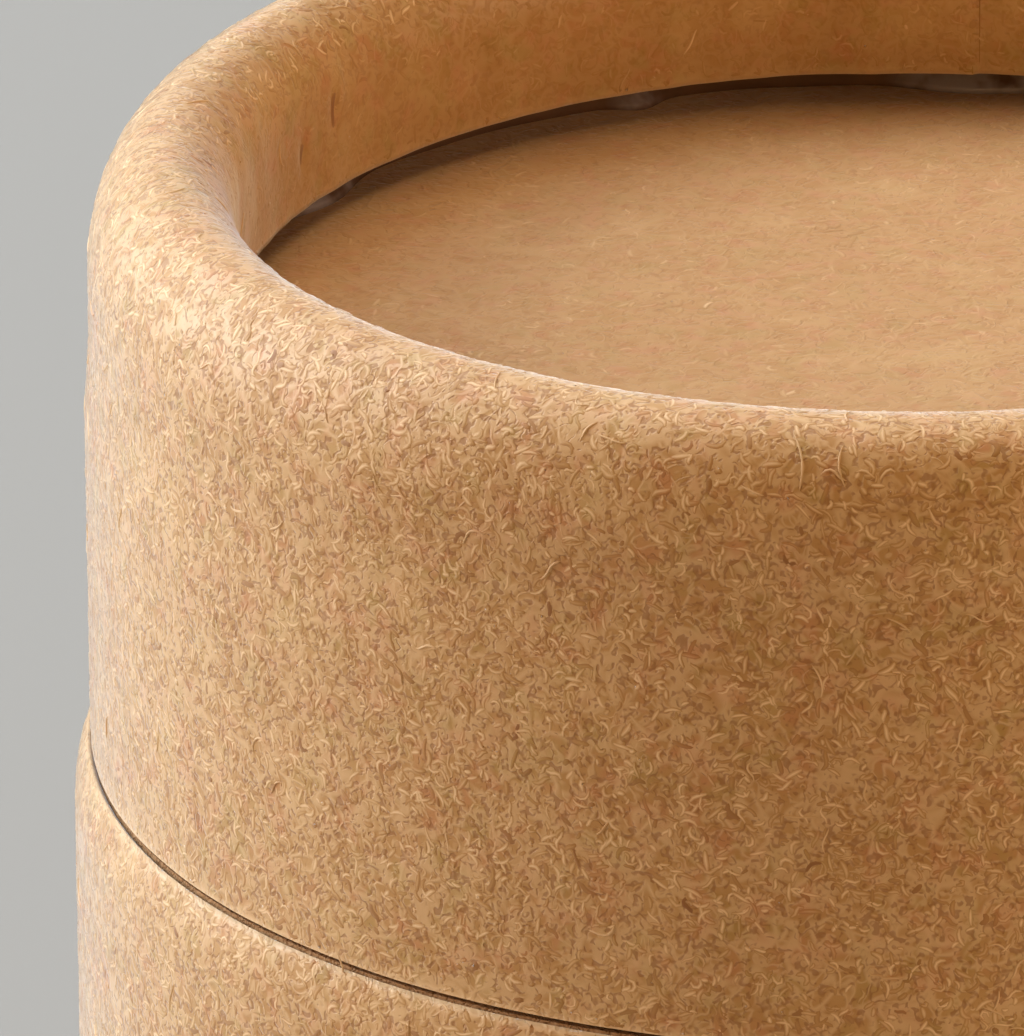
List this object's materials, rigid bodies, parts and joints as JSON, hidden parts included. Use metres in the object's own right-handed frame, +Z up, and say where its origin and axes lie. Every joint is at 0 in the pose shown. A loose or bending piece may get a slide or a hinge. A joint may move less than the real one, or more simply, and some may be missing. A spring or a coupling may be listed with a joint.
{
  "type": "cylindrical gift tube box",
  "caption": "Round kraft paper tube box with a curled rim, a sunk lid panel, a lift-off lid and a neck standing inside the body.",
  "frame": {"origin": "middle of the foot ring, on the surface that the tube stands on", "axes": "+Z up along the tube's axis, towards the lid; -Y is the side that the picture looks at"},
  "size_m": [0.0571, 0.057, 0.1051],
  "materials": {
    "kraft_paper": "uncoated brown kraft, matt and fibrous",
    "panel_kraft": "uncoated brown kraft, matt",
    "wound_board": "raw recycled board",
    "lining_paper": "smooth pale kraft lining",
    "dry_glue": "dried white glue, faintly glossy"
  },
  "bodies": {
    "base": {"body_wrap": "kraft_paper", "body_outer_ply": "wound_board", "body_middle_ply": "wound_board", "body_inner_ply": "wound_board", "neck_outer_ply": "kraft_paper", "neck_inner_ply": "wound_board", "neck_lining": "lining_paper", "base_panel_lining": "lining_paper", "base_panel_board": "wound_board", "base_panel_facing": "panel_kraft", "base_glue_bead": "dry_glue"},
    "lid": {"lid_wrap": "kraft_paper", "lid_outer_ply": "wound_board", "lid_inner_ply": "wound_board", "lid_lining": "lining_paper", "lid_panel_facing": "panel_kraft", "lid_panel_board": "wound_board", "lid_panel_lining": "lining_paper", "lid_glue_bead": "dry_glue"}
  },
  "joints": [
    {"name": "lid_lift", "type": "slide", "parent": "base", "child": "lid", "axis": [0, 0, 1], "range_m": [0, 0.1]}
  ]
}
